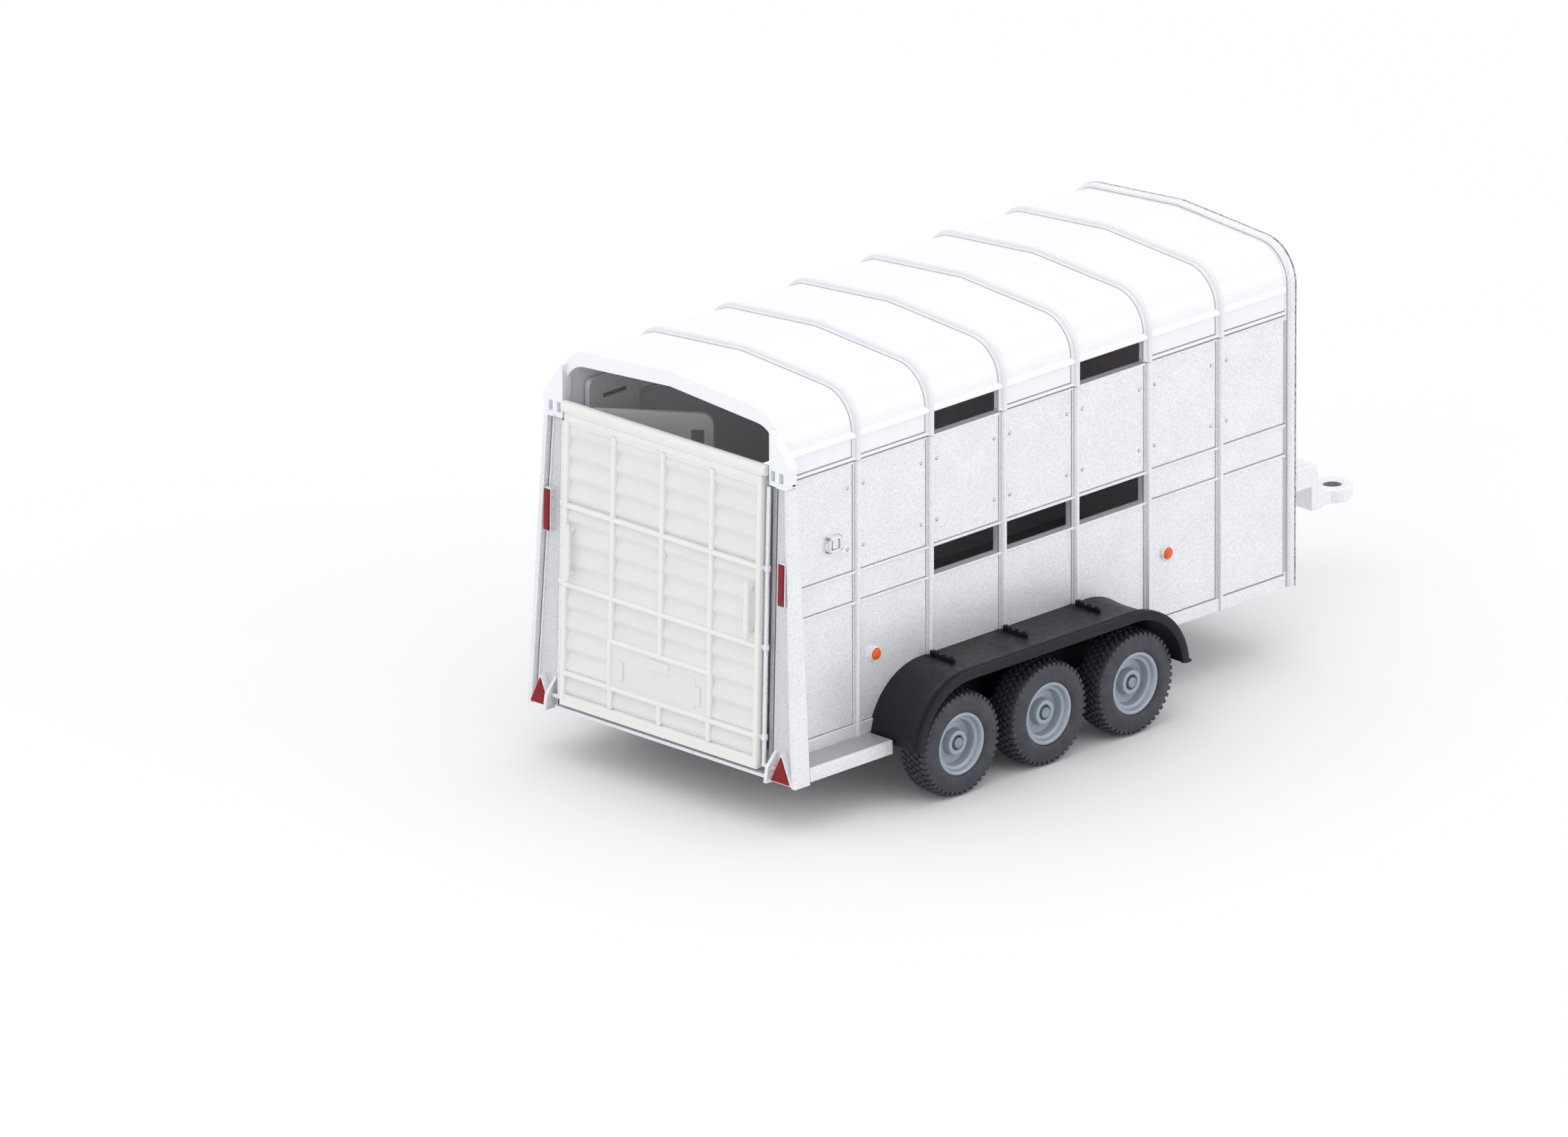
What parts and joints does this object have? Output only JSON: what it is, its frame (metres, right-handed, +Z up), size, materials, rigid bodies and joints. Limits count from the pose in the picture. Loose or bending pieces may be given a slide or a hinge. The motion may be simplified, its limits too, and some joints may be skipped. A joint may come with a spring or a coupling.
{
  "type": "livestock trailer",
  "caption": "Scale model of a covered livestock trailer with ribbed panel sides, a fold-down ramp tailgate, inner gates, turning wheels under long mudguards and a towing eye.",
  "frame": {"origin": "on the ground, under the middle of the bounding box", "axes": "+X forwards towards the towing eye, +Y to the trailer's left, +Z up"},
  "size_m": [0.183, 0.0822, 0.0809],
  "materials": {
    "silver_paint": "satin, fine metallic fleck",
    "pale_silver": "satin",
    "roof_white": "gloss",
    "ivory_plastic": "semi-matte",
    "matte_black": "matte",
    "tyre_rubber": "matte",
    "rim_grey": "satin",
    "axle_steel": "turned",
    "dark_grey_plastic": "matte",
    "red_lens": "gloss, moulded",
    "orange_lens": "gloss, moulded"
  },
  "bodies": {
    "trailer": {"floor": "dark_grey_plastic", "axle_rail_right": "dark_grey_plastic", "axle_rail_left": "dark_grey_plastic", "rear_sill": "silver_paint", "side_wall_right": "silver_paint", "side_wall_left": "silver_paint", "front_wall": "silver_paint", "front_hoop": "silver_paint", "roof_shell": "roof_white", "rear_arch": "roof_white", "rear_post_right": "silver_paint", "rear_post_left": "silver_paint", "hinge_bracket_right": "silver_paint", "hinge_bracket_left": "silver_paint", "gate_lugs": "silver_paint", "roof_tabs": "silver_paint", "panel_rivets": "silver_paint", "side_socket": "silver_paint", "mudguard_right": "matte_black", "mudguard_left": "matte_black", "guard_ridges_right": "matte_black", "guard_ridges_left": "matte_black", "step_right": "silver_paint", "step_left": "silver_paint", "tail_light_housings": "silver_paint", "tail_light_lenses": "red_lens", "triangle_housings": "roof_white", "triangle_reflectors": "red_lens", "side_marker_bases": "silver_paint", "side_marker_lenses": "orange_lens", "drawbar_right": "pale_silver", "drawbar_left": "pale_silver", "coupling_head": "pale_silver"},
    "tailgate": {"tailgate_frame": "ivory_plastic", "tailgate_top_rail": "ivory_plastic", "number_plate_holder": "ivory_plastic", "grab_handles": "ivory_plastic", "tailgate_rods": "silver_paint"},
    "inner_gate_right": {"inner_gate_right": "ivory_plastic"},
    "inner_gate_left": {"inner_gate_left": "ivory_plastic"},
    "wheels_rear": {"axle_rear": "axle_steel", "rim_rear_right": "rim_grey", "rim_rear_left": "rim_grey", "tyre_rear_right": "tyre_rubber", "tyre_rear_left": "tyre_rubber"},
    "wheels_middle": {"axle_middle": "axle_steel", "rim_middle_right": "rim_grey", "rim_middle_left": "rim_grey", "tyre_middle_right": "tyre_rubber", "tyre_middle_left": "tyre_rubber"},
    "wheels_front": {"axle_front": "axle_steel", "rim_front_right": "rim_grey", "rim_front_left": "rim_grey", "tyre_front_right": "tyre_rubber", "tyre_front_left": "tyre_rubber"}
  },
  "joints": [
    {"name": "tailgate_hinge", "type": "hinge", "parent": "trailer", "child": "tailgate", "pos_m": [-0.08956, 0, 0.0122], "axis": [0, -1, 0], "range_deg": [0, 102.5]},
    {"name": "inner_gate_right_hinge", "type": "hinge", "parent": "trailer", "child": "inner_gate_right", "pos_m": [-0.08446, -0.0246, 0.04], "axis": [0, 0, -1], "range_deg": [0, 75]},
    {"name": "inner_gate_left_hinge", "type": "hinge", "parent": "trailer", "child": "inner_gate_left", "pos_m": [-0.08446, 0.0246, 0.04], "axis": [0, 0, 1], "range_deg": [-37, 38]},
    {"name": "wheels_rear_spin", "type": "hinge", "parent": "trailer", "child": "wheels_rear", "pos_m": [-0.05229, 0, 0.01], "axis": [0, 1, 0], "continuous": true},
    {"name": "wheels_middle_spin", "type": "hinge", "parent": "trailer", "child": "wheels_middle", "pos_m": [-0.02949, 0, 0.01], "axis": [0, 1, 0], "continuous": true},
    {"name": "wheels_front_spin", "type": "hinge", "parent": "trailer", "child": "wheels_front", "pos_m": [-0.00669, 0, 0.01], "axis": [0, 1, 0], "continuous": true}
  ]
}
